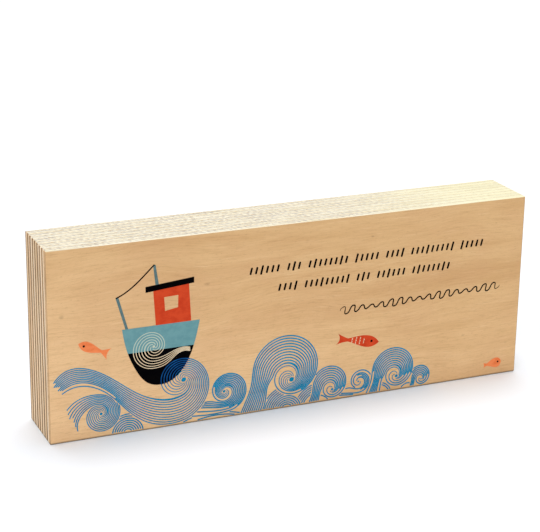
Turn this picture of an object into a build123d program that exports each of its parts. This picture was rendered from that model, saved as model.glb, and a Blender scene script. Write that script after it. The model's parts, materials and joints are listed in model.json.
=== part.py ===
from build123d import *
from collections import namedtuple
import math
import os

# Free-standing picture block: a length of thick birch plywood, sawn square, with a
# picture printed in ink on its front. The block stands on its long edge.
# Frame: X along the block, front face towards -Y, Z up, origin under the middle.
# Millimetres throughout.

# ---- block ----
LENGTH = 184.0
HEIGHT = 70.0
DEPTH = 24.0
PLY_COUNT = 17
FACE_VENEER = 1.2
GLUE_FILM = 0.06
CORNER_RADIUS = 0.4
EASED_EDGE = 0.3

# ---- picture ----
INK_FILM = 0.06
LINE_WIDTH = 0.46
SLENDER_WIDTH = 0.38
FINE_WIDTH = 0.26
EYE_WIDTH = 0.26
LINE_GAP = 0.06
MARGIN = 0.45
RUN_STEP = 0.25
SHORTEST_RUN = 3.0
OUTLINE_STEP = 3

# ---- boat, measured from the lower left corner of the front ----
DECK_HEIGHT = 38.7
WATERLINE = 29.6
DECK_LEFT = 26.4
DECK_RIGHT = 54.8
KEEL = (40.3, 16.5)
ROOF_LEFT = (35.0, 51.0)
ROOF_RIGHT = (52.7, 52.6)
ROOF_THICKNESS = 2.1
STAY_WIDTH = 0.45
HULL_OVERRUN = 2

# ---- caption ----
TICK_PITCH = 2.05
TICK_HEIGHT = 2.7
TICK_WIDTH = 0.72
TICK_LEAN = 76
FLOURISH_WIDTH = 0.46

os.makedirs("parts", exist_ok=True)

GLUE_COUNT = PLY_COUNT - 1
CORE_PLY = (DEPTH - 2 * FACE_VENEER - GLUE_COUNT * GLUE_FILM) / (PLY_COUNT - 2)
FRONT_Y = -DEPTH / 2


def front_plane(x=0.0, z=0.0, tilt=0.0):
    """A plane on the printed face, at a point measured from its lower left corner."""
    lean = math.radians(tilt)
    return Plane(
        origin=(x - LENGTH / 2, FRONT_Y, z),
        x_dir=(math.cos(lean), 0, math.sin(lean)),
        z_dir=(0, -1, 0),
    )


def save(piece, name):
    """Label a finished piece and write it to its own file."""
    piece.part.label = name
    export_step(piece.part, f"parts/{name}.step")


# ================= the plywood =================

ply_names = ["front_veneer"]
for number in range(2, PLY_COUNT):
    grain = "cross" if number % 2 == 0 else "long"
    ply_names.append(f"ply_{number:02d}_{grain}")
ply_names.append("back_veneer")

ply_starts = []
next_start = FRONT_Y
for name in ply_names:
    ply_starts.append(next_start)
    next_start += (FACE_VENEER if "veneer" in name else CORE_PLY) + GLUE_FILM


def block_plane(y):
    """An upright plane across the block, centred on the block's height, facing +Y."""
    return Plane(origin=(0, y, HEIGHT / 2), x_dir=(-1, 0, 0), z_dir=(0, 1, 0))


for name, start in zip(ply_names, ply_starts):
    is_face = "veneer" in name
    with BuildPart() as ply:
        with BuildSketch(block_plane(start)):
            RectangleRounded(LENGTH, HEIGHT, CORNER_RADIUS)
        extrude(amount=FACE_VENEER if is_face else CORE_PLY)
        if is_face:
            faces_along_y = ply.faces().sort_by(Axis.Y)
            outer_face = faces_along_y[0] if name == "front_veneer" else faces_along_y[-1]
            chamfer(outer_face.edges(), EASED_EDGE)
    save(ply, name)

with BuildPart() as glue_lines:
    for start in ply_starts[1:]:
        with BuildSketch(block_plane(start - GLUE_FILM)):
            RectangleRounded(LENGTH, HEIGHT, CORNER_RADIUS)
    extrude(amount=GLUE_FILM)
save(glue_lines, "glue_lines")


# ================= drawing with a pen =================
# The waves, the curl and the stay are pen lines. A pen line is a run: a list of
# (x, z, width) along its middle. A line stops where it would come closer than the
# gap to a line that is already drawn, so no two lines of ink ever touch.

drawn = {}
SEARCH_CELLS = 2
SWELL_START = 0.6
EYE_START = 0.8


def mix(start, end, share):
    return start + (end - start) * share


def mix_points(start, end, share):
    return (mix(start[0], end[0], share), mix(start[1], end[1], share))


def is_clear(x, z, width, own_line):
    """True where a pen of this width keeps the gap to every line drawn before."""
    for column in range(int(x) - SEARCH_CELLS, int(x) + SEARCH_CELLS + 1):
        for row in range(int(z) - SEARCH_CELLS, int(z) + SEARCH_CELLS + 1):
            for other_x, other_z, other_width, line in drawn.get((column, row), ()):
                reach = (width + other_width) / 2 + LINE_GAP
                if line != own_line and math.hypot(x - other_x, z - other_z) < reach:
                    return False
    return MARGIN < x < LENGTH - MARGIN and MARGIN + width / 2 < z < HEIGHT - MARGIN


def keeps_off_itself(x, z, width, run):
    """True where a winding line stays clear of its own earlier turns."""
    recent = int(2 * (width + LINE_GAP) / RUN_STEP) + 6
    for other_x, other_z, other_width in run[:-recent]:
        if math.hypot(x - other_x, z - other_z) < (width + other_width) / 2 + LINE_GAP:
            return False
    return True


def pen_width(share, width, swell, end_width):
    """Width of a line at a share of its length: fuller past its middle, finer at its end."""
    swollen = max(0.0, share - SWELL_START) / (1 - SWELL_START)
    near_end = max(0.0, share - EYE_START) / (1 - EYE_START)
    return mix(width, end_width, near_end) + swell * math.sin(math.pi * swollen) ** 2


def pen_line(through, line, width=LINE_WIDTH, swell=0.0, end_width=LINE_WIDTH, ragged=0.0):
    """The longest clear run of a smooth line through these points."""
    middle = Spline(*through)
    count = max(8, int(middle.length / RUN_STEP))
    longest = []
    run = []
    for step in range(int(ragged / RUN_STEP), count + 1):
        share = step / count
        spot = middle @ share
        x, z = spot.X, spot.Y
        wide = pen_width(share, width, swell, end_width)
        if is_clear(x, z, wide, line) and keeps_off_itself(x, z, wide, run):
            run.append((x, z, wide))
        else:
            run = []
        if len(run) > len(longest):
            longest = list(run)
    if len(longest) * RUN_STEP < SHORTEST_RUN:
        return []
    for x, z, wide in longest:
        drawn.setdefault((int(x), int(z)), []).append((x, z, wide, line))
    return longest


def draw_run(run):
    """Add the outline of a run, half its width to each side, to the open sketch."""
    stops = list(range(0, len(run) - 1, OUTLINE_STEP)) + [len(run) - 1]
    if len(stops) > 2 and stops[-1] - stops[-2] < 2:
        stops.pop(-2)
    left = []
    right = []
    for stop in stops:
        before = run[max(stop - 1, 0)]
        after = run[min(stop + 1, len(run) - 1)]
        x, z, width = run[stop]
        length = math.hypot(after[0] - before[0], after[1] - before[1])
        across = (-(after[1] - before[1]) / length, (after[0] - before[0]) / length)
        left.append((x + across[0] * width / 2, z + across[1] * width / 2))
        right.append((x - across[0] * width / 2, z - across[1] * width / 2))
    with BuildLine() as outline:
        Spline(*left)
        Line(left[-1], right[-1])
        Spline(*reversed(right))
        Line(right[0], left[0])
    make_face(outline.edges())


def run_faces(runs):
    """The outlines of several runs as faces, ready to be cut from a larger shape."""
    faces = []
    for run in runs:
        with BuildSketch() as line:
            draw_run(run)
        faces.append(line.sketch_local.face())
    return faces


def save_lines(runs, name, plane):
    """Print each run as its own film of ink, and keep them all as one piece."""
    films = []
    for run in runs:
        with BuildPart() as film:
            with BuildSketch(plane):
                draw_run(run)
            extrude(amount=INK_FILM)
        films.append(film.part.solid())
    lines = Part(films)
    lines.label = name
    export_step(lines, f"parts/{name}.step")


# ================= waves =================
# A wave is a bundle of lines, its arms. They run in side by side, between an outer and
# an inner edge, then wind round a head into its eye. A head is a family of circles
# that shrink and drift towards the eye as an arm turns. The arms join it at the same
# angle, each a share of a turn further in, so they stay side by side to the eye.

ARM_STEP = 1 / 24
TIGHTEN = 1.12
EYE_RADIUS = 0.02
BLOT_STEPS = 12

# As shares of a head's radius: how much fuller the innermost arm grows on its way, and
# the size of the blot in the eye.
INNER_SWELL = 0.024
BLOT_SIZE = 0.12

# join is the angle at which the arms arrive, turn is 1 clockwise and -1 the other way.
Head = namedtuple("Head", "x z radius eye_x eye_z turns join turn")

# A wave that climbs on its left and breaks to the right, for a head of radius 1.
ROLL_HEAD = Head(0.0, 0.0, 1.10, 0.06, -0.40, 1.65, 180, 1)
ROLL_OUTER = [(-1.50, -1.28), (-1.30, -0.84), (-1.15, -0.40)]
ROLL_INNER = [(-0.86, -1.28), (-0.72, -0.86), (-0.63, -0.42)]

# A wave that runs in low from the left, climbs on its right and curls back.
CURL_HEAD = Head(0.0, 0.0, 1.08, -0.16, -0.06, 1.75, -90, -1)
CURL_OUTER = [(-2.00, -1.04), (-1.15, -1.12)]
CURL_INNER = [(-1.20, -0.50), (-0.75, -0.50)]


def head_point(head, turned, angle):
    """The point at this angle on the circle that belongs to so many turns."""
    share = min(turned / head.turns, 1.0)
    radius = head.radius * (1 - share ** TIGHTEN) + EYE_RADIUS
    x = head.x + head.eye_x * share + radius * math.cos(angle)
    z = head.z + head.eye_z * share + radius * math.sin(angle)
    return (x, z)


def arm_points(head, outer, inner, arm, arms):
    """Points along one arm: arm 0 is the outermost."""
    points = []
    for outer_point, inner_point in zip(outer, inner):
        points.append(mix_points(outer_point, inner_point, arm / (arms - 1)))
    joined = arm / arms
    for step in range(int((head.turns - joined) / ARM_STEP)):
        angle = math.radians(head.join - head.turn * 360 * step * ARM_STEP)
        points.append(head_point(head, joined + step * ARM_STEP, angle))
    return points


def blot_run(name, head):
    """The blot of ink in the eye: a short fat drop that the arms run up to."""
    size = head.radius * BLOT_SIZE
    run = []
    for step in range(BLOT_STEPS + 1):
        share = step / BLOT_STEPS
        x = head.x + head.eye_x + size * (share - 0.5)
        z = head.z + head.eye_z + size * (share - 0.5) * 0.6
        width = size * (0.15 + 0.85 * math.sin(math.pi * share) ** 0.7)
        run.append((x, z, width))
        drawn.setdefault((int(x), int(z)), []).append((x, z, width, (name, "blot")))
    return run


def wave_runs(name, head, outer, inner, arms, ragged=0.0, width=LINE_WIDTH):
    """A wave's blot and arms: the innermost arm first, then every other one, then the rest."""
    last = arms - 1
    order = [last] + list(range(0, last, 2)) + list(range(1, last, 2))
    runs = [blot_run(name, head)]
    for arm in order:
        points = arm_points(head, outer, inner, arm, arms)
        swell = head.radius * INNER_SWELL if arm == last else 0.0
        run = pen_line(points, (name, arm), width, swell, EYE_WIDTH, ragged * (arm * 3 % 4))
        if run:
            runs.append(run)
    return runs


def placed_head(head, at, size):
    """A head of radius 1 brought to its place and size."""
    return head._replace(
        x=at[0],
        z=at[1],
        radius=head.radius * size,
        eye_x=head.eye_x * size,
        eye_z=head.eye_z * size,
    )


def placed_points(points, at, size):
    return [(at[0] + x * size, at[1] + z * size) for x, z in points]


def roll(name, at, size, arms):
    outer = placed_points(ROLL_OUTER, at, size)
    inner = placed_points(ROLL_INNER, at, size)
    return wave_runs(name, placed_head(ROLL_HEAD, at, size), outer, inner, arms)


def curl(name, at, size, arms):
    outer = placed_points(CURL_OUTER, at, size)
    inner = placed_points(CURL_INNER, at, size)
    return wave_runs(name, placed_head(CURL_HEAD, at, size), outer, inner, arms)


def first_wave():
    """The small round head at the far left, fed from a ragged crest."""
    head = Head(17.6, 8.4, 8.6, 0.8, 0.4, 1.5, 90, 1)
    outer = [(4.2, 13.6), (10.2, 17.2)]
    inner = [(10.0, 3.6), (11.2, 9.2)]
    return wave_runs("wave_1", head, outer, inner, 9, ragged=0.5, width=SLENDER_WIDTH)


def trough_wave():
    """The long wave: down from the crest, through the trough and round under the boat."""
    head = Head(46.0, 14.8, 13.6, 2.8, 2.2, 1.4, -90, -1)
    outer = [(4.6, 18.2), (12.6, 20.0), (20.8, 16.0), (28.4, 8.2), (37.0, 2.2)]
    inner = [(1.2, 21.8), (9.5, 26.9), (17.6, 24.4), (26.2, 18.4), (35.6, 12.2)]
    return wave_runs("wave_2", head, outer, inner, 11, ragged=0.5, width=SLENDER_WIDTH)


def hull_curl_runs():
    """The pale curl on the boat's side: in from the right, then up and round."""
    head = Head(36.9, 30.6, 7.6, 0.9, 0.4, 1.6, -90, 1)
    outer = [(51.2, 27.6), (46.8, 27.3), (42.2, 23.9)]
    inner = [(51.2, 28.9), (46.8, 29.0), (42.0, 27.2)]
    return wave_runs("hull_curl", head, outer, inner, 5, width=FINE_WIDTH)


def arc_runs(name, centre, smallest, count, pitch, start, end):
    """Nested arcs about one centre, such as ripples between two waves."""
    runs = []
    for number in range(count):
        radius = smallest + number * pitch
        points = []
        for step in range(9):
            angle = math.radians(mix(start, end, step / 8))
            x = centre[0] + radius * math.cos(angle)
            z = centre[1] + radius * math.sin(angle)
            points.append((x, z))
        run = pen_line(points, (name, centre, number))
        if run:
            runs.append(run)
    return runs


# The biggest wave is drawn first, and each later one stops at those before it.
waves = {}
waves["wave_4"] = roll("wave_4", (89.5, 16.0), 13.0, 11)
waves["wave_2"] = trough_wave()
waves["wave_1"] = first_wave()
waves["wave_3"] = curl("wave_3", (65.3, 10.6), 7.6, 8)
waves["wave_7"] = roll("wave_7", (132.4, 9.2), 8.6, 9)
waves["wave_5"] = roll("wave_5", (106.2, 7.2), 7.0, 7)
waves["wave_6"] = curl("wave_6", (118.0, 6.2), 5.0, 6)
waves["wave_8"] = roll("wave_8", (143.2, 4.6), 4.2, 5)
hull_curl_lines = hull_curl_runs()

ripples = []
for ripple_x, ripple_z in ((28.0, 0.0), (88.5, -1.0), (101.0, -2.0), (125.5, -1.5), (137.8, -1.0)):
    ripples += arc_runs("ripple", (ripple_x, ripple_z), 0.8, 12, 0.8, 178, 2)
for swell_x, swell_radius in ((61.0, 33.2), (113.0, 26.8)):
    ripples += arc_runs("swell", (swell_x, -30.0), swell_radius - 2.55, 4, 0.85, 66, 112)


# ================= boat =================

def draw_hull():
    """The whole side of the hull, from deck to keel."""
    deck_left = (DECK_LEFT, DECK_HEIGHT)
    deck_right = (DECK_RIGHT, DECK_HEIGHT)
    with BuildLine() as outline:
        Line(deck_left, deck_right)
        Spline(deck_right, (52.7, 30.0), (49.3, 22.4), (45.0, 17.9), KEEL)
        Spline(KEEL, (35.2, 18.0), (31.2, 23.2), (28.2, 30.2), deck_left)
    make_face(outline.edges())


def draw_polygon(corners, mode=Mode.ADD):
    with BuildLine() as outline:
        Polyline(*corners, close=True)
    make_face(outline.edges(), mode=mode)


def roof_underside(x):
    slope = (ROOF_RIGHT[1] - ROOF_LEFT[1]) / (ROOF_RIGHT[0] - ROOF_LEFT[0])
    return ROOF_LEFT[1] + slope * (x - ROOF_LEFT[0])


with BuildSketch() as hull_outline:
    draw_hull()
hull_face = hull_outline.sketch_local.face()


def split_at_hull(runs):
    """Part each run where it passes onto the hull and where it leaves it."""
    on_hull = []
    clear_of_hull = []
    for run in runs:
        inside = [spot for spot, (x, z, width) in enumerate(run) if hull_face.is_inside(Vector(x, z))]
        if not inside:
            clear_of_hull.append(run)
            continue
        first = max(inside[0] - HULL_OVERRUN, 0)
        last = min(inside[-1] + HULL_OVERRUN, len(run) - 1)
        on_hull.append(run[first:last + 1])
        for rest in (run[:first + 1], run[last:]):
            if len(rest) * RUN_STEP > SHORTEST_RUN / 2:
                clear_of_hull.append(rest)
    return on_hull, clear_of_hull


def near_hull(run):
    """True for a run whose edge may touch the hull though its middle stays outside."""
    outline_wire = hull_face.outer_wire()
    for x, z, width in run:
        if outline_wire.distance_to(Vertex(x, z, 0)) < width / 2 + LINE_GAP:
            return True
    return False


waves["wave_2_on_hull"], waves["wave_2"] = split_at_hull(waves["wave_2"])
grazing = [run for run in waves["wave_2"] if near_hull(run)]

with BuildPart() as hull_topside:
    with BuildSketch(front_plane()):
        draw_hull()
        with Locations((LENGTH / 2, WATERLINE)):
            Rectangle(LENGTH, HEIGHT, align=(Align.CENTER, Align.MIN), mode=Mode.INTERSECT)
        add(run_faces(hull_curl_lines), mode=Mode.SUBTRACT)
    extrude(amount=INK_FILM)
save(hull_topside, "hull_topside")

with BuildPart() as hull_bottom:
    with BuildSketch(front_plane()):
        draw_hull()
        with Locations((LENGTH / 2, WATERLINE)):
            Rectangle(LENGTH, HEIGHT, align=(Align.CENTER, Align.MAX), mode=Mode.INTERSECT)
        add(run_faces(hull_curl_lines + waves["wave_2_on_hull"] + grazing), mode=Mode.SUBTRACT)
    extrude(amount=INK_FILM)
save(hull_bottom, "hull_bottom")

save_lines(hull_curl_lines, "hull_curl", front_plane())

with BuildPart() as cabin_wall:
    with BuildSketch(front_plane()):
        draw_polygon([
            (38.6, DECK_HEIGHT),
            (51.6, DECK_HEIGHT),
            (50.8, roof_underside(50.8)),
            (37.8, roof_underside(37.8)),
        ])
        draw_polygon([(42.0, 43.5), (46.8, 44.3), (46.9, 48.8), (41.7, 48.6)], Mode.SUBTRACT)
    extrude(amount=INK_FILM)
save(cabin_wall, "cabin_wall")

with BuildPart() as cabin_roof:
    with BuildSketch(front_plane()):
        draw_polygon([
            ROOF_LEFT,
            ROOF_RIGHT,
            (ROOF_RIGHT[0], ROOF_RIGHT[1] + ROOF_THICKNESS),
            (ROOF_LEFT[0], ROOF_LEFT[1] + ROOF_THICKNESS),
        ])
    extrude(amount=INK_FILM)
save(cabin_roof, "cabin_roof")

stay_through = Spline((24.3, 50.3), (30.0, 53.4), (34.6, 57.3), (38.3, 60.8))
stay_run = []
for step in range(81):
    spot = stay_through @ (step / 80)
    stay_run.append((spot.X, spot.Y, STAY_WIDTH))

save_lines([stay_run], "stay_line", front_plane())

with BuildPart() as mast:
    with BuildSketch(front_plane()):
        draw_polygon([
            (38.6, roof_underside(38.6) + ROOF_THICKNESS),
            (39.8, roof_underside(39.8) + ROOF_THICKNESS),
            (38.7, 60.7),
            (37.8, 60.5),
        ])
        add(run_faces([stay_run]), mode=Mode.SUBTRACT)
    extrude(amount=INK_FILM)
save(mast, "mast")

with BuildPart() as bow_post:
    with BuildSketch(front_plane()):
        draw_polygon([(27.6, DECK_HEIGHT), (28.6, DECK_HEIGHT), (25.3, 50.4), (24.3, 50.2)])
        add(run_faces([stay_run]), mode=Mode.SUBTRACT)
    extrude(amount=INK_FILM)
save(bow_post, "bow_post")


# ================= waves as ink =================

for name, runs in waves.items():
    save_lines(runs, name, front_plane())
save_lines(ripples, "ripple_lines", front_plane())


# ================= fish =================
# Each fish lies along its own plane: the joint of the tail at the origin, the nose
# along +x. The numbers are: place of the joint, tilt, body length, body depth,
# tail length, tail spread, eye radius.

FISH = {
    "fish_left": ((18.9, 31.9), 155.0, 8.9, 3.5, 3.0, 4.3, 0.42),
    "fish_middle": ((112.4, 22.9), -11.0, 12.9, 4.4, 4.4, 4.2, 0.46),
    "fish_right": ((171.8, 4.5), 6.0, 6.0, 3.9, 1.7, 2.2, 0.36),
}
EYE_PLACE = (0.76, 0.04)
JOINT_SHARE = 0.13
NOTCH_SHARE = 0.77


def draw_fish(length, depth, tail, spread):
    joint = depth * JOINT_SHARE
    with BuildLine() as outline:
        Spline((0, joint), (length * 0.3, depth * 0.38), (length * 0.66, depth * 0.5), (length, 0))
        Spline((length, 0), (length * 0.7, -depth * 0.5), (length * 0.3, -depth * 0.34), (0, -joint))
        Spline((0, -joint), (-tail * 0.5, -spread * 0.27), (-tail, -spread * 0.5))
        ThreePointArc((-tail, -spread * 0.5), (-tail * NOTCH_SHARE, 0), (-tail, spread * 0.5))
        Spline((-tail, spread * 0.5), (-tail * 0.5, spread * 0.3), (0, joint))
    make_face(outline.edges())


def scale_runs(length, depth):
    """Small bowed scale lines in columns along the middle of a fish."""
    runs = []
    for column in range(4):
        x = length * (0.1 + 0.125 * column)
        rows = 2 if column in (0, 3) else 3
        for row in range(rows):
            z = (row - (rows - 1) / 2) * depth * 0.23
            run = []
            for step in range(13):
                angle = math.radians(mix(-62, 62, step / 12))
                width = 0.1 + 0.2 * math.sin(math.pi * step / 12)
                run.append((x + 0.55 * math.cos(angle), z + 0.42 * math.sin(angle), width))
            runs.append(run)
    return runs


for name, (place, tilt, length, depth, tail, spread, eye) in FISH.items():
    fish_plane = front_plane(place[0], place[1], tilt)
    with BuildPart() as fish:
        with BuildSketch(fish_plane):
            draw_fish(length, depth, tail, spread)
            with Locations((length * EYE_PLACE[0], depth * EYE_PLACE[1])):
                Circle(eye, mode=Mode.SUBTRACT)
            if name == "fish_middle":
                add(run_faces(scale_runs(length, depth)), mode=Mode.SUBTRACT)
        extrude(amount=INK_FILM)
    save(fish, name)

with BuildPart() as fish_eyes:
    for place, tilt, length, depth, tail, spread, eye in FISH.values():
        with BuildSketch(front_plane(place[0], place[1], tilt)):
            with Locations((length * EYE_PLACE[0], depth * EYE_PLACE[1])):
                Circle(eye)
    extrude(amount=INK_FILM)
save(fish_eyes, "fish_eyes")

middle_place, middle_tilt, middle_length, middle_depth = FISH["fish_middle"][:4]
middle_plane = front_plane(middle_place[0], middle_place[1], middle_tilt)
save_lines(scale_runs(middle_length, middle_depth), "fish_scales", middle_plane)


# ================= caption =================
# Two rows of leaning ticks in groups, and a wavy flourish under them: plain marks
# that fill the caption's place and say nothing.

CAPTION_ROWS = {
    "caption_row_1": (74.0, 54.0, (6, 3, 8, 5, 4, 9, 5)),
    "caption_row_2": (85.0, 46.7, (4, 9, 3, 6, 8)),
}

for name, (row_start, row_height, groups) in CAPTION_ROWS.items():
    with BuildPart() as caption_row:
        x = row_start
        for group in groups:
            for tick in range(group):
                height = TICK_HEIGHT * (1.3 if (tick * 2 + group) % 5 == 0 else 1.0)
                with BuildSketch(front_plane(x, row_height)):
                    SlotOverall(height, TICK_WIDTH, rotation=TICK_LEAN)
                x += TICK_PITCH
            x += TICK_PITCH
        extrude(amount=INK_FILM)
    save(caption_row, name)

FLOURISH_START = (109.0, 34.6)
FLOURISH_LENGTH = 66.0
FLOURISH_RISE = 1.6
FLOURISH_LOOPS = 17

flourish_through = []
for step in range(FLOURISH_LOOPS * 6 + 1):
    share = step / (FLOURISH_LOOPS * 6)
    phase = 2 * math.pi * FLOURISH_LOOPS * share
    swing = 1.15 + 0.5 * math.sin(2 * math.pi * 3.4 * share + 0.6)
    x = FLOURISH_START[0] + FLOURISH_LENGTH * share + 0.4 * swing * math.sin(phase)
    z = FLOURISH_START[1] + FLOURISH_RISE * share + swing * math.sin(phase)
    flourish_through.append((x, z))
flourish_middle = Spline(*flourish_through)
flourish_run = []
flourish_count = int(flourish_middle.length / 0.15)
for step in range(flourish_count + 1):
    share = step / flourish_count
    spot = flourish_middle @ share
    taper = min(1.0, 0.3 + 12 * share, 0.3 + 12 * (1 - share))
    flourish_run.append((spot.X, spot.Y, FLOURISH_WIDTH * taper))

save_lines([flourish_run], "caption_flourish", front_plane())
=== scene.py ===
import json
import math

import bpy
from mathutils import Matrix, Vector, noise


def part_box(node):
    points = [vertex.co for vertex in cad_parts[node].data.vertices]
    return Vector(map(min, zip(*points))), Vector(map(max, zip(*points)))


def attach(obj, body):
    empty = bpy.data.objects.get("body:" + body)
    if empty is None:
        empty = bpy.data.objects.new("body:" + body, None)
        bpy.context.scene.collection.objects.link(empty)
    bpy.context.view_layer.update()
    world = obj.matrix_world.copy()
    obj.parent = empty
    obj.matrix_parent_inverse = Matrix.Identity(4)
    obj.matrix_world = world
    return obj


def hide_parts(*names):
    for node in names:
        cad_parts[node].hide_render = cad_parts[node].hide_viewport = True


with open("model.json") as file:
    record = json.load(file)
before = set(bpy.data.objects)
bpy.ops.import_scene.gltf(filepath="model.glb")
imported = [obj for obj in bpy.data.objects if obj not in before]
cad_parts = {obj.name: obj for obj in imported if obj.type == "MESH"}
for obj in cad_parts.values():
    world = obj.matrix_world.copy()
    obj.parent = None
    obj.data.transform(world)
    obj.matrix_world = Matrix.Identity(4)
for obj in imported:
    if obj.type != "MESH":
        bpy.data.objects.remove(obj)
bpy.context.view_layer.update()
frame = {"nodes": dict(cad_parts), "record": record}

# The looks of a printed plywood picture block. Every place is worked out from the CAD
# frame. Lengths are in metres, and MM turns millimetres into metres.

MM = 0.001
block_low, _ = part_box("front_veneer")
_, block_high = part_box("back_veneer")

ply_names = ["front_veneer"]
ply_names += sorted(name for name in frame["nodes"] if name.startswith("ply_"))
ply_names.append("back_veneer")
PLY_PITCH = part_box(ply_names[2])[0].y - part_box(ply_names[1])[0].y

# ---- the cut edges of the plies ----
CORNER_RADIUS = 0.4 * MM
CORNER_STEPS = 3
EDGE_STEP = 0.42 * MM
ROWS_CORE = 6
ROWS_FACE = 5
EASED_EDGE = 0.3 * MM
CAP_INSET = 1.6 * MM
CAP_CORNER = 0.2 * MM
# A glue line strays from flat in slow and quick waves.
GLUE_WOBBLE = 0.11 * MM
GLUE_SLOW_WAVE = 17 * MM
GLUE_QUICK_WAVE = 3.1 * MM
GLUE_QUICK_SHARE = 0.35
GLUE_DEPTH = 0.1 * MM
GLUE_GRIP = 0.03 * MM
# The saw's slanted dashes: how far they lean, how often they come, how the rows shift.
TEAR_SLANT = 0.85
TEAR_PITCH = 2.4 * MM
ROW_SHIFT = 1.9
SAW_RIDGE = 1.45 * MM
# The saw ran smooth from SMOOTH_START to SMOOTH_END of the length, and left this much of
# its marks there. The ends have an even share of them.
SMOOTH_START = 0.35
SMOOTH_END = 0.8
SMOOTH_MARKS = 0.25
END_MARKS = 0.8
# How deep the saw's ridges, the rough cut and its tears go. End grain also lies lower
# than long grain, more so at the ends than on the top and the bottom.
RIDGE_DEPTH = 0.012 * MM
ROUGH_DEPTH = 0.03 * MM
TEAR_DEPTH = 0.11 * MM
END_GRAIN_SUNK_LEVEL = 0.025 * MM
END_GRAIN_SUNK_UPRIGHT = 0.07 * MM
# Below this height the wood is darkened with a painted contact shadow, where the block meets the floor.
FOOT_HEIGHT = 0.9 * MM

# ---- the sanded face, in millimetres ----
# Pin knots: x and z from the lower left corner, and size.
PIN_KNOTS = ((57.5, 51.4, 0.9), (5.2, 46.0, 0.9), (121.0, 61.5, 0.5), (160.5, 18.0, 0.5))
KNOT_STRENGTH = 0.34
# The face pales towards its lower left by so much for each millimetre along x, y and z: partly the wood's
# own tone, partly painted light where the floor's bounce would lighten it.
PALE_AND_FLOOR_LIGHT_SLOPE = (-0.0035, 0, -0.011)

# ---- the UV square of a ply: its cut edge in rows, over one band for each flat face ----
UV_MAP = "OFBake"
UV_ROWS = 16
UV_ROW_FILL = 0.9
UV_ROW_MARGIN = 0.04
UV_SHOWN_BAND = 0.4
UV_HIDDEN_BAND = 0.03
UV_SHOWN_FACE = 0.39
UV_HIDDEN_FACE = 0.028

# ---- room and camera ----
FLOOR_HALF = 4.0
CAMERA_AZIMUTH = -23.57
CAMERA_ELEVATION = 18.84
CAMERA_ROLL = 0.89
CAMERA_DISTANCE = 591 * MM
CAMERA_LENS = 112.5
CAMERA_SENSOR = 36.0
CAMERA_TARGET_X = -10.9 * MM
CAMERA_TARGET_Z = 55.1 * MM
SKY_COLOUR = (0.92, 0.97, 1.0, 1.0)
SKY_STRENGTH = 0.5


# ================= mesh tools =================

def mix(start, end, share):
    return start + (end - start) * share


def smooth_step(low, high, value):
    share = min(1.0, max(0.0, (value - low) / (high - low)))
    return share * share * (3 - 2 * share)


def new_object(name, vertices, faces):
    mesh = bpy.data.meshes.new(name)
    mesh.from_pydata(vertices, [], faces)
    mesh.validate()
    piece = bpy.data.objects.new(name, mesh)
    bpy.context.scene.collection.objects.link(piece)
    return piece


class Outline:
    """Points round the block's outline, seen from the front: place, outward normal, side."""

    def __init__(self):
        self.places = []
        self.normals = []
        self.sides = []
        self.starts = {}
        low_x = block_low.x + CORNER_RADIUS
        high_x = block_high.x - CORNER_RADIUS
        low_z = block_low.z + CORNER_RADIUS
        high_z = block_high.z - CORNER_RADIUS
        corners = [
            (Vector((low_x, 0, low_z)), "bottom", -90),
            (Vector((high_x, 0, low_z)), "right", 0),
            (Vector((high_x, 0, high_z)), "top", 90),
            (Vector((low_x, 0, high_z)), "left", 180),
        ]
        for number, (corner, side, heading) in enumerate(corners):
            following = corners[(number + 1) % 4][0]
            for step in range(CORNER_STEPS):
                angle = math.radians(heading - 90 + 90 * (step + 0.5) / CORNER_STEPS)
                self.add(corner, angle, side)
            count = round((following - corner).length / EDGE_STEP)
            self.starts[side] = (len(self.places), count)
            for step in range(count + 1):
                along = corner.lerp(following, step / count)
                self.add(along, math.radians(heading), side)

    def add(self, centre, angle, side):
        normal = Vector((math.cos(angle), 0, math.sin(angle)))
        self.places.append(centre + normal * CORNER_RADIUS)
        self.normals.append(normal)
        self.sides.append(side)


outline = Outline()
POINT_COUNT = len(outline.places)


def glue_wobble(boundary, place):
    """How far the glue line with this number strays from flat, at a place on the outline."""
    if boundary in (0, len(ply_names)):
        return 0.0
    seed = boundary * 7.3
    slow_place = (place.x / GLUE_SLOW_WAVE, seed, place.z / GLUE_SLOW_WAVE)
    quick_place = (place.x / GLUE_QUICK_WAVE, seed + 40, place.z / GLUE_QUICK_WAVE)
    slow = noise.noise(Vector(slow_place))
    quick = noise.noise(Vector(quick_place))
    return GLUE_WOBBLE * (slow + GLUE_QUICK_SHARE * quick)


def saw_fade(place, side):
    """1 where the saw left rough marks, and less where it ran smooth."""
    if side in ("left", "right"):
        return END_MARKS
    share = (place.x - block_low.x) / (block_high.x - block_low.x)
    drift = 0.25 * noise.noise(Vector((place.x / (30 * MM), 3.7, place.z)))
    return mix(1.0, SMOOTH_MARKS, smooth_step(SMOOTH_START, SMOOTH_END, share + drift))


def torn_grain(place, y, side, across_grain, number):
    """Depth, 0 to 1, of the short slanted tears that the saw left in the cut."""
    level = side in ("top", "bottom")
    along = place.x if level else place.z
    slant = along + TEAR_SLANT * y
    beat = 0.5 + 0.5 * math.cos(2 * math.pi * slant / TEAR_PITCH + number // 2 * ROW_SHIFT)
    drift = noise.noise(Vector((slant / (1.3 * MM), number * 3.1, y / (2.6 * MM))))
    fine = noise.noise(Vector((slant / (0.5 * MM), number * 5.7, y / (1.2 * MM))))
    if not level:
        return 0.6 * smooth_step(0.25, 0.9, 0.5 + drift * 0.5 + fine * 0.4) if across_grain else 0.0
    strength = 0.8 if across_grain else 0.5
    return strength * smooth_step(0.3, 1.1, beat * 0.75 + drift * 0.6 + fine * 0.2)


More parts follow.
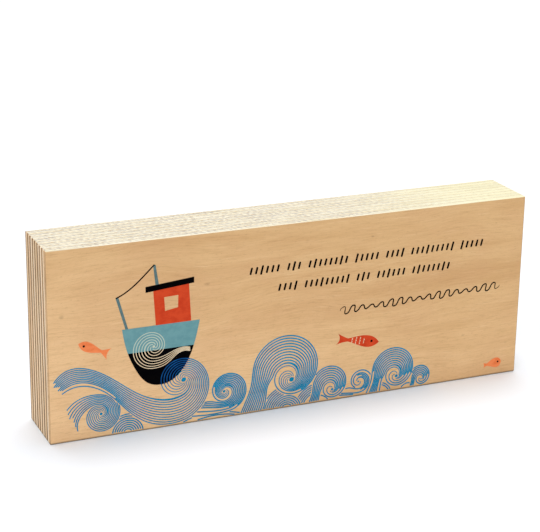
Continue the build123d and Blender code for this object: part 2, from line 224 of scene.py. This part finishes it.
def cut_depth(place, y, side, across_grain, number):
    """How far the cut surface lies under the block's true outline, and its tear."""
    tear = torn_grain(place, y, side, across_grain, number) * saw_fade(place, side)
    along = place.x if side in ("top", "bottom") else place.z
    ridge = 0.5 + 0.5 * math.sin(2 * math.pi * (along + 0.25 * y) / SAW_RIDGE)
    rough = 0.5 + 0.5 * noise.noise(Vector((along / (0.8 * MM), number * 9.1, y / (0.5 * MM))))
    depth = RIDGE_DEPTH * ridge + ROUGH_DEPTH * rough + TEAR_DEPTH * tear
    if across_grain:
        depth += END_GRAIN_SUNK_LEVEL if side in ("top", "bottom") else END_GRAIN_SUNK_UPRIGHT
    return depth, tear


def inner_point(number, inset):
    """A point of the outline brought inwards, on a smaller outline with its own corners."""
    middle = (block_low + block_high) / 2
    half = (block_high - block_low) / 2
    normal = outline.normals[number]
    core = outline.places[number] - normal * CORNER_RADIUS
    shrink_x = (half.x - inset - CAP_CORNER) / (half.x - CORNER_RADIUS)
    shrink_z = (half.z - inset - CAP_CORNER) / (half.z - CORNER_RADIUS)
    x = middle.x + (core.x - middle.x) * shrink_x + normal.x * CAP_CORNER
    z = middle.z + (core.z - middle.z) * shrink_z + normal.z * CAP_CORNER
    return x, z


def wall_faces(first):
    """The faces between the ring of points that starts at this vertex and the next ring."""
    faces = []
    for point in range(POINT_COUNT):
        here = first + point
        following = first + (point + 1) % POINT_COUNT
        faces.append((here, following, following + POINT_COUNT, here + POINT_COUNT))
    return faces


def cap_faces(ring, inset, y, vertices, faces, flip):
    """Close one side of a ply: a band inwards to a flat ring, then upright strips."""
    first = len(vertices)
    for number in range(POINT_COUNT):
        x, z = inner_point(number, inset)
        vertices.append((x, y, z))
    cap = []
    for number in range(POINT_COUNT):
        following = (number + 1) % POINT_COUNT
        cap.append([ring + number, ring + following, first + following, first + number])
    bottom, columns = outline.starts["bottom"]
    top = outline.starts["top"][0]
    for step in range(columns):
        low = first + bottom + step
        high = first + top + columns - step
        cap.append([low, low + 1, high - 1, high])
    right_end = range(first + bottom + columns, first + top + 1)
    left_end = list(range(first + top + columns, first + POINT_COUNT))
    left_end += range(first, first + bottom + 1)
    cap += [list(right_end), left_end]
    for face in cap:
        faces.append(face if flip else face[::-1])


def edge_uv(piece, ring_count, outer_cap):
    """Lay the cut edge out in rows across the UV square, and the flat faces below them."""
    mesh = piece.data
    layer = mesh.uv_layers.new(name=UV_MAP)
    first_band = UV_SHOWN_BAND if outer_cap else UV_HIDDEN_BAND
    rows_low = first_band + UV_HIDDEN_BAND
    row_height = (1 - rows_low) / UV_ROWS
    per_row = math.ceil(POINT_COUNT / UV_ROWS)
    size_x = block_high.x - block_low.x
    size_z = block_high.z - block_low.z
    edge_faces = POINT_COUNT * (ring_count - 1)
    middle_y = sum(v.co.y for v in mesh.vertices) / len(mesh.vertices)
    for polygon in mesh.polygons:
        for spot, loop in enumerate(polygon.loop_indices):
            if polygon.index < edge_faces:
                ring, number = divmod(polygon.index, POINT_COUNT)
                row, column = divmod(number, per_row)
                u = (column + (spot in (1, 2))) / (per_row + 0.2)
                v = (ring + (spot in (2, 3))) / (ring_count - 1)
                layer.data[loop].uv = (u, rows_low + (row + UV_ROW_MARGIN + UV_ROW_FILL * v) * row_height)
            else:
                place = mesh.vertices[mesh.loops[loop].vertex_index].co
                front = polygon.center.y < middle_y
                shown = outer_cap and front == (outer_cap == "front")
                base = 0.0 if shown or (front and not outer_cap) else first_band
                height = UV_SHOWN_FACE if shown else UV_HIDDEN_FACE
                share = (place.z - block_low.z) / size_z
                layer.data[loop].uv = ((place.x - block_low.x) / size_x, base + share * height)


def make_ply(name, number):
    """One ply: a sheet whose cut edge carries saw marks and torn grain."""
    low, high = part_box(name)
    outer = {"front_veneer": "front", "back_veneer": "back"}.get(name)
    rings = []
    rows = ROWS_FACE if outer else ROWS_CORE
    for row in range(rows + 1):
        rings.append((row / rows, 0.0, 0.0))
    if outer == "front":
        rings[0] = (0.0, EASED_EDGE, 0.0)
        rings.insert(1, (0.0, EASED_EDGE * 0.35, EASED_EDGE * 0.3))
    if outer == "back":
        rings[-1] = (1.0, EASED_EDGE, 0.0)
        rings.insert(-1, (1.0, EASED_EDGE * 0.35, -EASED_EDGE * 0.3))
    cross = "cross" in name
    vertices = []
    tears = []
    for share, inset, shift in rings:
        for place, normal, side in zip(outline.places, outline.normals, outline.sides):
            front_y = low.y + glue_wobble(number, place)
            back_y = high.y + glue_wobble(number + 1, place)
            y = mix(front_y, back_y, share) + shift
            across_grain = cross == (side in ("top", "bottom"))
            depth, tear = cut_depth(place, y, side, across_grain, number)
            if inset:
                depth, tear = inset, 0.3 * tear
            spot = place - normal * depth
            vertices.append((spot.x, y, spot.z))
            tears.append(tear)
    faces = []
    for ring in range(len(rings) - 1):
        faces += wall_faces(ring * POINT_COUNT)
    last_ring = (len(rings) - 1) * POINT_COUNT
    front_inset = EASED_EDGE * 1.6 if outer == "front" else CAP_INSET
    back_inset = EASED_EDGE * 1.6 if outer == "back" else CAP_INSET
    cap_faces(0, front_inset, low.y, vertices, faces, True)
    cap_faces(last_ring, back_inset, high.y, vertices, faces, False)
    piece = new_object(name + "_wood", vertices, faces)
    tear_layer = piece.data.attributes.new("tear", "FLOAT", "POINT")
    for index, tear in enumerate(tears):
        tear_layer.data[index].value = tear
    edge_uv(piece, len(rings), outer)
    finish_ply(piece, len(rings), cross, outer)
    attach(piece, "root")
    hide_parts(name)
    return piece


def finish_ply(piece, ring_count, cross, outer):
    """Give each face of a ply the material of its cut."""
    # The front veneer's end gets a painted highlight: it is lighter than the same wood's end at the back.
    end_upright = "front_veneer_end_highlight" if outer == "front" else "end_grain_upright"
    looks = ["end_grain_level", "long_grain_level", end_upright, "long_grain_upright", "birch_face"]
    for look in looks:
        piece.data.materials.append(materials[look])
    edge_faces = POINT_COUNT * (ring_count - 1)
    for polygon in piece.data.polygons:
        look = "birch_face"
        if polygon.index < edge_faces:
            level = outline.sides[polygon.index % POINT_COUNT] in ("top", "bottom")
            end_grain = cross == level
            if level:
                look = "end_grain_level" if end_grain else "long_grain_level"
            else:
                look = end_upright if end_grain else "long_grain_upright"
            polygon.use_smooth = True
        polygon.material_index = looks.index(look)


def make_glue():
    """The sixteen films of glue: each follows its wandering joint and sits just under the cut."""
    vertices = []
    faces = []
    for number in range(1, len(ply_names)):
        _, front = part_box(ply_names[number - 1])
        back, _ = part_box(ply_names[number])
        first = len(vertices)
        for y in (front.y, back.y):
            for place, normal in zip(outline.places, outline.normals):
                grip = noise.noise(Vector((place.x / (2 * MM), number * 4.1, place.z / (2 * MM))))
                spot = place - normal * (GLUE_DEPTH + GLUE_GRIP * grip)
                vertices.append((spot.x, y + glue_wobble(number, place), spot.z))
        faces += wall_faces(first)
        cap_faces(first, CAP_INSET, front.y, vertices, faces, True)
        cap_faces(first + POINT_COUNT, CAP_INSET, back.y, vertices, faces, False)
    piece = new_object("glue_films", vertices, faces)
    piece.data.materials.append(materials["glue"])
    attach(piece, "root")
    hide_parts("glue_lines")


# ================= material tools =================

def srgb(red, green, blue):
    """A colour given as it looks on a screen, 0 to 255, turned to linear light."""
    linear = []
    for part in (red, green, blue):
        part /= 255
        linear.append(part / 12.92 if part <= 0.04045 else ((part + 0.055) / 1.055) ** 2.4)
    return (*linear, 1.0)


class Recipe:
    """Builds one material's nodes; every step gives back an output socket."""

    def __init__(self, name):
        self.material = bpy.data.materials.new(name)
        self.material.use_nodes = True
        self.tree = self.material.node_tree
        self.shader = self.tree.nodes["Principled BSDF"]
        where = self.tree.nodes.new("ShaderNodeTexCoord")
        self.place = self.vector("SCALE", where.outputs["Object"], scale=1 / MM)

    def feed(self, socket, value):
        if isinstance(value, bpy.types.NodeSocket):
            self.tree.links.new(value, socket)
        else:
            socket.default_value = value

    def number(self, operation, first, second=0.0, third=0.0):
        made = self.tree.nodes.new("ShaderNodeMath")
        made.operation = operation
        for socket, value in zip(made.inputs, (first, second, third)):
            self.feed(socket, value)
        return made.outputs[0]

    def vector(self, operation, first, second=(0, 0, 0), scale=1.0):
        made = self.tree.nodes.new("ShaderNodeVectorMath")
        made.operation = operation
        self.feed(made.inputs[0], first)
        self.feed(made.inputs[1], second)
        if operation == "SCALE":
            self.feed(made.inputs["Scale"], scale)
        return made.outputs[1] if operation in ("LENGTH", "DOT_PRODUCT") else made.outputs[0]

    def stretched(self, size, shift=(0, 0, 0), place=None):
        """The place in millimetres, shifted, then divided by a size along each axis."""
        moved = self.vector("ADD", place or self.place, shift)
        return self.vector("DIVIDE", moved, size)

    def cloud(self, where, detail=2.0, roughness=0.5):
        made = self.tree.nodes.new("ShaderNodeTexNoise")
        self.feed(made.inputs["Vector"], where)
        made.inputs["Scale"].default_value = 1.0
        made.inputs["Detail"].default_value = detail
        made.inputs["Roughness"].default_value = roughness
        return made.outputs["Fac"]

    def reach(self, value, low, high, start=0.0, end=1.0):
        """Turn low..high into start..end, held level outside."""
        made = self.tree.nodes.new("ShaderNodeMapRange")
        made.interpolation_type = "SMOOTHSTEP"
        for key, number in zip(("From Min", "From Max", "To Min", "To Max"), (low, high, start, end)):
            self.feed(made.inputs[key], number)
        self.feed(made.inputs["Value"], value)
        return made.outputs["Result"]

    def blend(self, share, first, second):
        made = self.tree.nodes.new("ShaderNodeMix")
        made.data_type = "RGBA"
        self.feed(made.inputs["Factor"], share)
        self.feed(made.inputs[6], first)
        self.feed(made.inputs[7], second)
        return made.outputs[2]

    def stain(self, colour, cloud, low, high, strength, tint):
        """Blend a tint in, up to a strength, where a cloud goes from low to high."""
        return self.blend(self.reach(cloud, low, high, 0.0, strength), colour, tint)

    def attribute(self, name):
        made = self.tree.nodes.new("ShaderNodeAttribute")
        made.attribute_name = name
        return made.outputs["Fac"]

    def finish(self, colour, roughness, height=None, bump=0.1, depth=0.1 * MM, gloss=0.15):
        self.feed(self.shader.inputs["Base Color"], colour)
        self.feed(self.shader.inputs["Roughness"], roughness)
        self.shader.inputs["Specular IOR Level"].default_value = gloss
        if height is not None:
            relief = self.tree.nodes.new("ShaderNodeBump")
            relief.inputs["Strength"].default_value = bump
            relief.inputs["Distance"].default_value = depth
            self.feed(relief.inputs["Height"], height)
            self.feed(self.shader.inputs["Normal"], relief.outputs["Normal"])
        return self.material


materials = {}


# ================= wood =================

def face_grain(recipe):
    """The streaks, fibres, flecks and pores of the sanded face, as socket values from 0 to 1."""
    drift = recipe.cloud(recipe.stretched((46, 46, 30)), 1.0)
    sway = recipe.number("MULTIPLY_ADD", drift, 7.0, -3.5)
    lift = recipe.tree.nodes.new("ShaderNodeCombineXYZ")
    recipe.feed(lift.inputs["Z"], sway)
    bent = recipe.vector("ADD", recipe.place, lift.outputs[0])
    return {
        "figure": recipe.cloud(recipe.stretched((60, 20, 7), place=bent), 3.0, 0.6),
        "streak": recipe.cloud(recipe.stretched((11, 9, 0.6), (31, 0, 7), bent), 3.0, 0.6),
        "fibre": recipe.cloud(recipe.stretched((3.6, 5, 0.2), (3, 0, 51), bent), 2.0, 0.6),
        "fleck": recipe.cloud(recipe.stretched((1.5, 3, 0.3), (77, 0, 13), bent), 2.0, 0.5),
        "pore": recipe.cloud(recipe.stretched((0.9, 3, 0.15), (7, 0, 83), bent), 1.0, 0.5),
        "blotch": recipe.cloud(recipe.stretched((30, 30, 17), (12, 0, 4)), 3.0, 0.6),
    }


def pin_knot(recipe, x, z, size):
    """1 at a small dark pin knot, 0 away from it; x and z from the lower left corner."""
    centre = ((block_low.x / MM) + x, 0, (block_low.z / MM) + z)
    flat = recipe.vector("MULTIPLY", recipe.vector("SUBTRACT", recipe.place, centre), (0.55, 0, 1))
    wobble = recipe.cloud(recipe.stretched((1.1, 1, 0.6), (x, 0, z)), 2.0, 0.6)
    distance = recipe.number("ADD", recipe.vector("LENGTH", flat), wobble)
    return recipe.reach(distance, 0.5 + size, 0.5, 0.0, 1.0)


# The stains of the sanded face: which part of the grain, from and to, strength, tint.
FACE_STAINS = (
    ("blotch", 0.4, 0.72, 0.4, srgb(212, 164, 118)),
    ("streak", 0.5, 0.85, 0.5, srgb(193, 147, 99)),
    ("streak", 0.45, 0.2, 0.35, srgb(240, 205, 160)),
    ("fibre", 0.5, 0.8, 0.5, srgb(186, 140, 92)),
    ("fleck", 0.6, 0.78, 0.5, srgb(176, 128, 82)),
    ("pore", 0.66, 0.78, 0.5, srgb(140, 98, 60)),
)


def birch_face():
    recipe = Recipe("birch_face")
    grain = face_grain(recipe)
    figure = recipe.reach(grain["figure"], 0.35, 0.68)
    colour = recipe.blend(figure, srgb(222, 180, 128), srgb(209, 164, 112))
    # Paler towards the lower left: partly the wood's own tone, partly painted light bounced up from the
    # floor.
    pale_and_floor_light = recipe.vector("DOT_PRODUCT", recipe.place, PALE_AND_FLOOR_LIGHT_SLOPE)
    colour = recipe.stain(colour, pale_and_floor_light, -0.8, 0.4, 1.0, srgb(246, 204, 154))
    for part, low, high, strength, tint in FACE_STAINS:
        colour = recipe.stain(colour, grain[part], low, high, strength, tint)
    for x, z, size in PIN_KNOTS:
        knot = pin_knot(recipe, x, z, size)
        colour = recipe.blend(recipe.number("MULTIPLY", knot, KNOT_STRENGTH), colour, srgb(134, 92, 58))
    # Painted contact shadow along the foot of the face.
    colour = painted_foot_shadow(recipe, colour)
    roughness = recipe.reach(grain["streak"], 0.25, 0.8, 0.5, 0.66)
    height = recipe.number("MULTIPLY_ADD", grain["fibre"], 0.6, grain["streak"])
    height = recipe.number("SUBTRACT", height, recipe.reach(grain["pore"], 0.62, 0.8))
    materials["birch_face"] = recipe.finish(colour, roughness, height, 0.25, 0.05 * MM)


def saw_dashes(recipe):
    """Soft slanted dashes across a level cut, in rows two plies deep; 0 to 1."""
    parts = recipe.tree.nodes.new("ShaderNodeSeparateXYZ")
    recipe.feed(parts.inputs[0], recipe.place)
    x, y, _ = parts.outputs
    rows = recipe.number("DIVIDE", recipe.number("SUBTRACT", y, block_low.y / MM), 2 * PLY_PITCH / MM)
    row = recipe.number("FLOOR", rows)
    within = recipe.number("SINE", recipe.number("MULTIPLY", recipe.number("FRACT", rows), math.pi))
    wander = recipe.cloud(recipe.stretched((5.5, 2.6, 5.5), (2, 6, 1)), 2.0, 0.6)
    slant = recipe.number("MULTIPLY_ADD", y, TEAR_SLANT, x)
    slant = recipe.number("MULTIPLY_ADD", wander, 3.6, slant)
    turn = recipe.number("MULTIPLY", slant, 2 * math.pi * MM / TEAR_PITCH)
    beat = recipe.number("COSINE", recipe.number("MULTIPLY_ADD", row, ROW_SHIFT, turn))
    ragged = recipe.cloud(recipe.stretched((1.1, 0.7, 1.1), (9, 3, 5)), 2.0, 0.6)
    dash = recipe.reach(recipe.number("MULTIPLY_ADD", ragged, 2.4, beat), 0.75, 2.2)
    dash = recipe.number("MULTIPLY", dash, recipe.reach(within, 0.1, 0.7, 0.08, 1.0))
    patch = recipe.cloud(recipe.stretched((9, 3.5, 9), (1, 12, 7)), 1.0)
    dash = recipe.number("MULTIPLY", dash, recipe.reach(patch, 0.3, 0.65, 0.45, 1.0))
    smooth_end = recipe.reach(x, 20.0, 66.0, 1.0, 0.3)
    return recipe.number("MULTIPLY", dash, smooth_end)


def painted_foot_shadow(recipe, colour, level=False):
    """Paint a contact shadow on the very foot of the block, where it meets the floor; on the bottom, only
    its front edge.
    """
    parts = recipe.tree.nodes.new("ShaderNodeSeparateXYZ")
    recipe.feed(parts.inputs[0], recipe.place)
    _, y, z = parts.outputs
    shade = recipe.reach(z, 0.15, FOOT_HEIGHT / MM, 0.75, 0.0)
    if level:
        front = block_low.y / MM
        shade = recipe.number("MULTIPLY", shade, recipe.reach(y, front + 0.4, front + 1.2, 1.0, 0.1))
    return recipe.blend(shade, colour, srgb(92, 66, 48))


def cut_grain(name, stretch, light, dark, tear_colour, level, end_grain):
    """A cut edge: level on the top and the bottom, upright at the ends.

    stretch is the size of a streak along x, y and z, in millimetres.
    """
    recipe = Recipe(name)
    tear = recipe.attribute("tear")
    x, y, z = stretch
    band = recipe.cloud(recipe.stretched((x * 3, y * 2.2, z * 3), (5, 1, 9)), 2.0, 0.5)
    streak = recipe.cloud(recipe.stretched(stretch, (11, 4, 2)), 3.0, 0.6)
    fine = recipe.cloud(recipe.stretched((x * 0.3, y * 0.4, z * 0.3), (2, 8, 21)), 2.0, 0.6)
    tint = recipe.cloud(recipe.stretched((26, 1.5, 26), (4, 4, 4)), 1.0, 0.5)
    colour = recipe.blend(recipe.reach(band, 0.35, 0.7), light, dark)
    colour = recipe.stain(colour, streak, 0.5, 0.8, 0.7, dark)
    colour = recipe.stain(colour, tint, 0.55, 0.8, 0.3, tear_colour)
    if level:
        to_right = recipe.vector("DOT_PRODUCT", recipe.place, (1, 0, 0))
        colour = recipe.stain(colour, to_right, 10.0, 88.0, 0.6, srgb(247, 240, 196))
        long_streak = recipe.cloud(recipe.stretched((34, 0.5, 34), (7, 2, 2)), 2.0, 0.6)
        colour = recipe.stain(colour, long_streak, 0.52, 0.74, 0.6, srgb(206, 188, 142))
        dashes = recipe.number("MULTIPLY", saw_dashes(recipe), 0.66)
        colour = recipe.blend(dashes, colour, tear_colour)
    else:
        warm = recipe.cloud(recipe.stretched((60, 1.9, 60), (8, 5, 1)), 1.0)
        colour = recipe.stain(colour, warm, 0.52, 0.7, 0.35, srgb(206, 158, 112))
    if end_grain:
        cells = recipe.tree.nodes.new("ShaderNodeTexVoronoi")
        recipe.feed(cells.inputs["Vector"], recipe.stretched((0.34, 0.3, 0.34)))
        cells.inputs["Scale"].default_value = 1.0
        pore = recipe.reach(cells.outputs["Distance"], 0.3, 0.12, 0.0, 0.4)
        colour = recipe.blend(pore, colour, tear_colour)
        height = recipe.number("SUBTRACT", fine, pore)
    else:
        height = recipe.number("ADD", fine, streak)
    # Darker in the tears: partly dirt in the torn grain, partly painted shade in their hollows.
    colour = recipe.stain(colour, tear, 0.1, 0.9, 0.3 if level else 0.6, tear_colour)
    # Painted contact shadow along the foot of the cut.
    colour = painted_foot_shadow(recipe, colour, level)
    roughness = recipe.reach(fine, 0.3, 0.8, 0.72, 0.9)
    materials[name] = recipe.finish(colour, roughness, height, 0.35, 0.12 * MM)


def glue_line():
    recipe = Recipe("glue")
    patch = recipe.cloud(recipe.stretched((4, 0.5, 4)), 3.0, 0.6)
    fleck = recipe.cloud(recipe.stretched((0.7, 0.3, 0.7), (8, 8, 8)), 2.0, 0.6)
    colour = recipe.blend(recipe.reach(patch, 0.3, 0.7), srgb(176, 140, 104), srgb(122, 88, 60))
    colour = recipe.stain(colour, fleck, 0.55, 0.75, 0.6, srgb(84, 58, 40))
    roughness = recipe.reach(fleck, 0.3, 0.7, 0.35, 0.6)
    materials["glue"] = recipe.finish(colour, roughness, fleck, 0.2, 0.05 * MM)


# ================= ink =================

BARE_WOOD = srgb(222, 182, 134)


def ink(name, main, deep, wear, gloss=0.1, upper=None, upper_start=0.0):
    """Matt printing ink: the wood's grain tells through it, and it is thin in small spots.

    Above upper_start, in metres, the ink takes the upper colour if there is one.
    """
    recipe = Recipe(name)
    grain = face_grain(recipe)
    mottle = recipe.cloud(recipe.stretched((3.2, 3, 2.2), (4, 9, 6)), 3.0, 0.6)
    thin = recipe.cloud(recipe.stretched((0.8, 1, 0.3), (9, 2, 1)), 2.0, 0.6)
    colour = recipe.blend(recipe.reach(mottle, 0.35, 0.7), main, deep)
    if upper:
        above_floor = recipe.vector("DOT_PRODUCT", recipe.place, (0, 0, 1))
        is_upper = recipe.number("GREATER_THAN", above_floor, upper_start / MM)
        colour = recipe.blend(is_upper, colour, upper)
    colour = recipe.stain(colour, grain["streak"], 0.5, 0.85, 0.35, deep)
    colour = recipe.stain(colour, thin, 0.62, 0.85, wear, BARE_WOOD)
    roughness = recipe.reach(mottle, 0.3, 0.75, 0.5, 0.68)
    height = recipe.number("MULTIPLY_ADD", grain["fibre"], 0.6, grain["streak"])
    materials[name] = recipe.finish(colour, roughness, height, 0.2, 0.05 * MM, gloss)


def make_materials():
    birch_face()
    level_light = srgb(247, 238, 216)
    level_dark = srgb(232, 219, 190)
    level_tear = srgb(168, 156, 154)
    side_light = srgb(252, 231, 201)
    side_dark = srgb(124, 92, 66)
    side_tear = srgb(98, 76, 62)
    cut_grain("long_grain_level", (9, 0.4, 2), level_light, srgb(244, 229, 196), level_tear, True, False)
    cut_grain("end_grain_level", (0.7, 0.5, 2), level_light, level_dark, level_tear, True, True)
    cut_grain("long_grain_upright", (2, 0.4, 9), side_light, srgb(230, 198, 156), side_tear, False, False)
    cut_grain("end_grain_upright", (2, 0.5, 4), srgb(164, 127, 92), side_dark, side_tear, False, True)
    # The front veneer's end grain, painted lighter as a highlight along the block's front corner.
    veneer_highlight_colour = srgb(232, 192, 146)
    cut_grain("front_veneer_end_highlight", (2, 0.5, 4), veneer_highlight_colour, srgb(206, 164, 120), side_tear, False, True)
    glue_line()
    ink("blue_ink", srgb(0, 137, 180), srgb(0, 122, 163), 0.04)
    ink("blue_on_black_ink", srgb(10, 84, 148), srgb(5, 60, 112), 0.03, 0.04)
    ink("teal_ink", srgb(110, 156, 160), srgb(100, 147, 152), 0.1)
    ink("spar_ink", srgb(98, 124, 125), srgb(86, 110, 110), 0.1)
    ink("black_ink", srgb(5, 4, 5), srgb(3, 2, 4), 0.02, 0.008)
    ink("red_ink", srgb(212, 72, 36), srgb(198, 60, 29), 0.1, 0.06)
    ink("coral_ink", srgb(244, 139, 84), srgb(233, 119, 66), 0.22)
    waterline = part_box("hull_bottom")[1].z
    ink("cream_ink", srgb(236, 214, 180), srgb(224, 198, 160), 0.2, 0.1, srgb(192, 202, 184), waterline)


# ================= the block =================

make_materials()
for number, name in enumerate(ply_names):
    make_ply(name, number)
make_glue()

replaced = set(ply_names) | {"glue_lines"}
slots = {row["node"]: row["material_slot"] for row in frame["record"]["subparts"]}
for name, piece in frame["nodes"].items():
    if name in replaced:
        continue
    look = "spar_ink" if name in ("mast", "bow_post") else slots[name]
    for material_slot in piece.material_slots:
        material_slot.material = materials[look]


# ================= room, lights and camera =================

def make_floor():
    corners = [(x * FLOOR_HALF, y * FLOOR_HALF, 0) for x, y in ((-1, -1), (1, -1), (1, 1), (-1, 1))]
    floor = new_object("studio_floor", corners, [(0, 1, 2, 3)])
    recipe = Recipe("studio_floor")
    shade = recipe.cloud(recipe.stretched((300, 300, 300)), 2.0)
    colour = recipe.blend(shade, srgb(247, 248, 252), srgb(244, 246, 250))
    floor.data.materials.append(recipe.finish(colour, 0.9))


def sun(name, azimuth, elevation, strength, spread):
    """A soft light from far off. Azimuth 0 shines from the front, 90 from the right."""
    light = bpy.data.lights.new(name, "SUN")
    light.energy = strength
    light.angle = math.radians(spread)
    lamp = bpy.data.objects.new(name, light)
    bpy.context.scene.collection.objects.link(lamp)
    turn = math.radians(azimuth)
    rise = math.radians(elevation)
    source = Vector((math.sin(turn) * math.cos(rise), -math.cos(turn) * math.cos(rise), math.sin(rise)))
    lamp.rotation_mode = "QUATERNION"
    lamp.rotation_quaternion = source.to_track_quat("Z", "Y")


def make_world():
    world = bpy.data.worlds.new("studio")
    world.use_nodes = True
    background = world.node_tree.nodes["Background"]
    background.inputs["Color"].default_value = SKY_COLOUR
    background.inputs["Strength"].default_value = SKY_STRENGTH
    bpy.context.scene.world = world


def make_camera():
    """Stands off to the left, a little above, and looks past the block's middle."""
    turn = math.radians(CAMERA_AZIMUTH)
    rise = math.radians(CAMERA_ELEVATION)
    target = Vector((CAMERA_TARGET_X, block_low.y, CAMERA_TARGET_Z))
    back = Vector((math.sin(turn) * math.cos(rise), -math.cos(turn) * math.cos(rise), math.sin(rise)))
    right = (-back).cross(Vector((0, 0, 1))).normalized()
    up = back.cross(right)
    facing = Matrix((right, up, back)).transposed()
    roll = Matrix.Rotation(math.radians(CAMERA_ROLL), 3, "Z")
    camera_data = bpy.data.cameras.new("camera")
    camera_data.lens = CAMERA_LENS
    camera_data.sensor_width = CAMERA_SENSOR
    camera_data.clip_start = 0.01
    camera = bpy.data.objects.new("camera", camera_data)
    bpy.context.scene.collection.objects.link(camera)
    camera.matrix_world = Matrix.Translation(target + back * CAMERA_DISTANCE) @ (facing @ roll).to_4x4()
    bpy.context.scene.camera = camera


make_floor()
make_world()
sun("overhead", azimuth=165, elevation=79, strength=1.72, spread=34)
sun("front_fill", azimuth=-35, elevation=38, strength=0.98, spread=50)
make_camera()
bpy.context.scene.view_settings.view_transform = "Standard"
